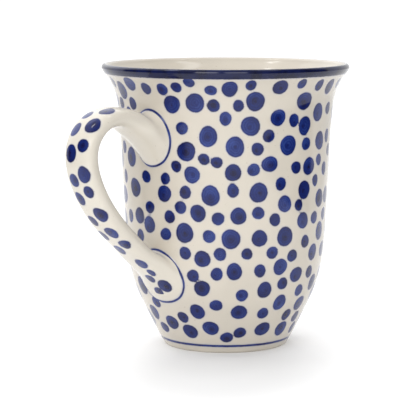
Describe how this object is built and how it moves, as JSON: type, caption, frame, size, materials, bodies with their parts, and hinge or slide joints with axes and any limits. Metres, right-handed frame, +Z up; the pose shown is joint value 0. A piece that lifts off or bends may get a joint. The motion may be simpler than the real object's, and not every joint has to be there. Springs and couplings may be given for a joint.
{
  "type": "mug",
  "caption": "Tall stoneware mug with a flared lip, a curved strap handle spread at both joints, and a narrow turned foot ring.",
  "frame": {"origin": "middle of the mug's length and width, on the table; the cup's own axis is 16.5 mm along +X from it", "axes": "+Z up through the mouth, -X towards the handle, and the plane Y = 0 cuts the handle in half"},
  "size_m": [0.1331, 0.1, 0.114],
  "materials": {
    "cup_glaze": "clear gloss glaze over warm cream clay, with cobalt blue dots, a cobalt lip and a thin cobalt foot line under the glaze",
    "handle_glaze": "clear gloss glaze over warm cream clay, with cobalt blue dots down the outer face",
    "slip_glaze": "glazed joining slip of the same clay"
  },
  "bodies": {
    "root": {"cup_body": "cup_glaze", "handle": "handle_glaze", "upper_slip_joint": "slip_glaze", "lower_slip_joint": "slip_glaze"}
  },
  "joints": []
}
